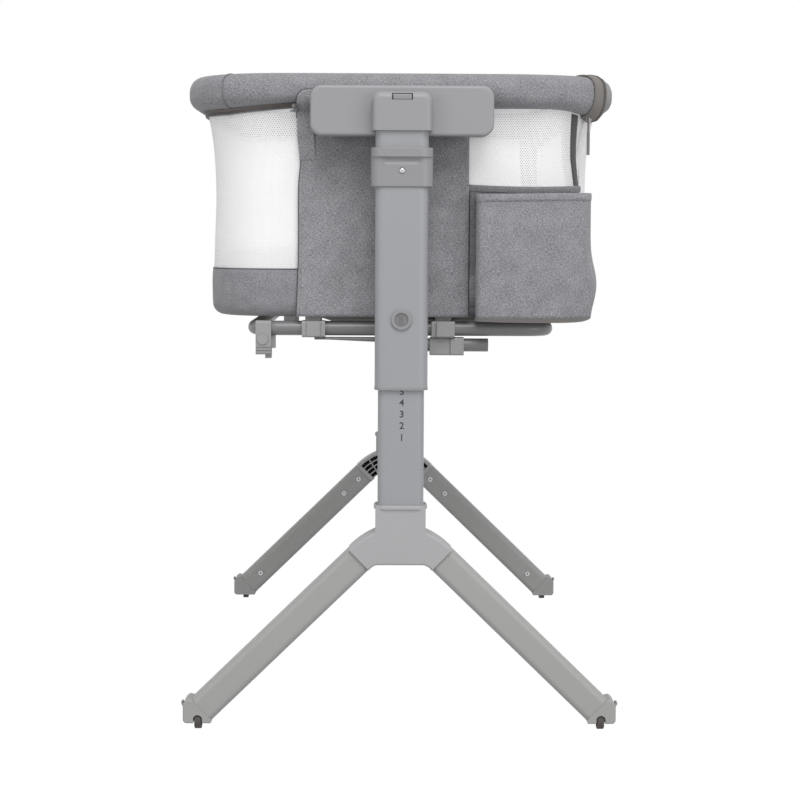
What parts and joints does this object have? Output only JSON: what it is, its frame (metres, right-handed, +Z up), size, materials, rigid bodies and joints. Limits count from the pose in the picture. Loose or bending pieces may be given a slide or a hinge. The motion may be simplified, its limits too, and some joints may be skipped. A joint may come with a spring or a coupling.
{
  "type": "bedside sleeper crib",
  "caption": "Bassinet with padded rim, mesh walls and a drop side, carried on telescopic posts with inverted V legs and small wheels.",
  "frame": {"origin": "on the floor, at the centre of the footprint", "axes": "+Z up, +Y along the bassinet's long axis, +X towards the drop side"},
  "size_m": [0.5606, 0.9352, 0.8414],
  "materials": {
    "steel": "zinc plated",
    "grey_fitting": "fine matt moulding",
    "painted_tube": "satin powder coat",
    "grey_plastic": "fine matt moulding",
    "melange": "grey melange weave",
    "zip_tape": "woven zip tape",
    "zip_metal": "worn nickel",
    "white_mesh": "open white mesh",
    "board": "plain",
    "under_cloth": "plain weave",
    "mattress_cloth": "soft white knit",
    "wheel_rubber": "matt"
  },
  "bodies": {
    "bassinet": {"rail_tube": "steel", "rail_couplers": "grey_fitting", "rail_padding": "melange", "rail_zip_rings": "zip_tape", "corner_zips": "zip_tape", "rim_zip": "zip_tape", "lower_band": "melange", "side_net": "white_mesh", "corner_mesh": "white_mesh", "end_panels": "melange", "pocket": "melange", "base_board": "board", "base_cover": "under_cloth", "end_struts": "steel", "strut_brackets": "grey_fitting", "base_tube": "painted_tube", "cross_tubes": "painted_tube", "cross_tube_clamps": "grey_fitting", "strap_anchors": "grey_fitting", "slide_rails": "steel"},
    "drop_side": {"drop_rail_tube": "steel", "drop_rail_padding": "melange", "drop_side_zips": "zip_tape", "drop_net": "white_mesh", "drop_corner_mesh": "white_mesh", "drop_hem": "melange"},
    "mattress_pad": {"mattress": "mattress_cloth"},
    "zip_pull_near": {"zip_pull_near": "zip_metal"},
    "post_near": {"head_plate_near": "grey_plastic", "outer_tube_near": "painted_tube", "tube_trims_near": "grey_fitting"},
    "base_near": {"inner_tube_near": "painted_tube", "hub_near": "grey_plastic", "legs_near": "painted_tube", "foot_caps_near": "grey_plastic", "base_fasteners_near": "steel"},
    "collar_near": {"collar_near": "grey_plastic"},
    "lock_button_near": {"lock_button_near": "grey_fitting"},
    "release_button_near": {"release_button_near": "grey_fitting"},
    "wheel_right_near": {"wheel_right_near": "wheel_rubber"},
    "brake_right_near": {"brake_right_near": "grey_plastic"},
    "wheel_left_near": {"wheel_left_near": "wheel_rubber"},
    "brake_left_near": {"brake_left_near": "grey_plastic"},
    "zip_pull_far": {"zip_pull_far": "zip_metal"},
    "post_far": {"head_plate_far": "grey_plastic", "outer_tube_far": "painted_tube", "tube_trims_far": "grey_fitting"},
    "base_far": {"inner_tube_far": "painted_tube", "hub_far": "grey_plastic", "legs_far": "painted_tube", "foot_caps_far": "grey_plastic", "base_fasteners_far": "steel"},
    "collar_far": {"collar_far": "grey_plastic"},
    "lock_button_far": {"lock_button_far": "grey_fitting"},
    "release_button_far": {"release_button_far": "grey_fitting"},
    "wheel_right_far": {"wheel_right_far": "wheel_rubber"},
    "brake_right_far": {"brake_right_far": "grey_plastic"},
    "wheel_left_far": {"wheel_left_far": "wheel_rubber"},
    "brake_left_far": {"brake_left_far": "grey_plastic"}
  },
  "joints": [
    {"name": "drop_side_fold", "type": "hinge", "parent": "bassinet", "child": "drop_side", "pos_m": [0.261, 0, 0.596], "axis": [0, 1, 0], "range_deg": [0, 170]},
    {"name": "mattress_lift", "type": "slide", "parent": "bassinet", "child": "mattress_pad", "axis": [0, 0, 1], "range_m": [0, 0.3]},
    {"name": "zip_pull_swing_near", "type": "hinge", "parent": "bassinet", "child": "zip_pull_near", "pos_m": [0.24295, -0.36003, 0.7838], "axis": [-0.6157, -0.788, 0], "range_deg": [0, 70]},
    {"name": "side_shift_near", "type": "slide", "parent": "bassinet", "child": "post_near", "axis": [-1, 0, 0], "range_m": [0, 0.08]},
    {"name": "height_slide_near", "type": "slide", "parent": "post_near", "child": "base_near", "axis": [0, 0, 1], "range_m": [0, 0.062]},
    {"name": "collar_lift_near", "type": "slide", "parent": "post_near", "child": "collar_near", "axis": [0, 0, 1], "range_m": [0, 0.014], "stiffness_N_per_m": 500},
    {"name": "lock_draw_near", "type": "slide", "parent": "post_near", "child": "lock_button_near", "axis": [0, -1, 0], "range_m": [0, 0.005]},
    {"name": "release_press_near", "type": "slide", "parent": "post_near", "child": "release_button_near", "axis": [0, 1, 0], "range_m": [0, 0.004], "stiffness_N_per_m": 600},
    {"name": "wheel_roll_right_near", "type": "hinge", "parent": "base_near", "child": "wheel_right_near", "pos_m": [0.2585, -0.445, 0.012], "axis": [1, 0, 0], "continuous": true},
    {"name": "brake_tip_right_near", "type": "hinge", "parent": "base_near", "child": "brake_right_near", "pos_m": [0.2725, -0.445, 0.021], "axis": [0, 1, 0], "range_deg": [0, 22]},
    {"name": "wheel_roll_left_near", "type": "hinge", "parent": "base_near", "child": "wheel_left_near", "pos_m": [-0.2585, -0.445, 0.012], "axis": [1, 0, 0], "continuous": true},
    {"name": "brake_tip_left_near", "type": "hinge", "parent": "base_near", "child": "brake_left_near", "pos_m": [-0.2725, -0.445, 0.021], "axis": [0, -1, 0], "range_deg": [0, 22]},
    {"name": "zip_pull_swing_far", "type": "hinge", "parent": "bassinet", "child": "zip_pull_far", "pos_m": [0.24295, 0.36003, 0.7838], "axis": [0.6157, -0.788, 0], "range_deg": [0, 70]},
    {"name": "side_shift_far", "type": "slide", "parent": "bassinet", "child": "post_far", "axis": [-1, 0, 0], "range_m": [0, 0.08]},
    {"name": "height_slide_far", "type": "slide", "parent": "post_far", "child": "base_far", "axis": [0, 0, 1], "range_m": [0, 0.062]},
    {"name": "collar_lift_far", "type": "slide", "parent": "post_far", "child": "collar_far", "axis": [0, 0, 1], "range_m": [0, 0.014], "stiffness_N_per_m": 500},
    {"name": "lock_draw_far", "type": "slide", "parent": "post_far", "child": "lock_button_far", "axis": [0, 1, 0], "range_m": [0, 0.005]},
    {"name": "release_press_far", "type": "slide", "parent": "post_far", "child": "release_button_far", "axis": [0, -1, 0], "range_m": [0, 0.004], "stiffness_N_per_m": 600},
    {"name": "wheel_roll_right_far", "type": "hinge", "parent": "base_far", "child": "wheel_right_far", "pos_m": [-0.2585, 0.445, 0.012], "axis": [1, 0, 0], "continuous": true},
    {"name": "brake_tip_right_far", "type": "hinge", "parent": "base_far", "child": "brake_right_far", "pos_m": [-0.2725, 0.445, 0.021], "axis": [0, -1, 0], "range_deg": [0, 22]},
    {"name": "wheel_roll_left_far", "type": "hinge", "parent": "base_far", "child": "wheel_left_far", "pos_m": [0.2585, 0.445, 0.012], "axis": [1, 0, 0], "continuous": true},
    {"name": "brake_tip_left_far", "type": "hinge", "parent": "base_far", "child": "brake_left_far", "pos_m": [0.2725, 0.445, 0.021], "axis": [0, 1, 0], "range_deg": [0, 22]}
  ],
  "couplings": [
    {"joint": "lock_draw_near", "follows": "collar_lift_near", "ratio": 0.35},
    {"joint": "lock_draw_far", "follows": "collar_lift_far", "ratio": 0.35},
    {"joint": "side_shift_far", "follows": "side_shift_near", "ratio": 1}
  ]
}
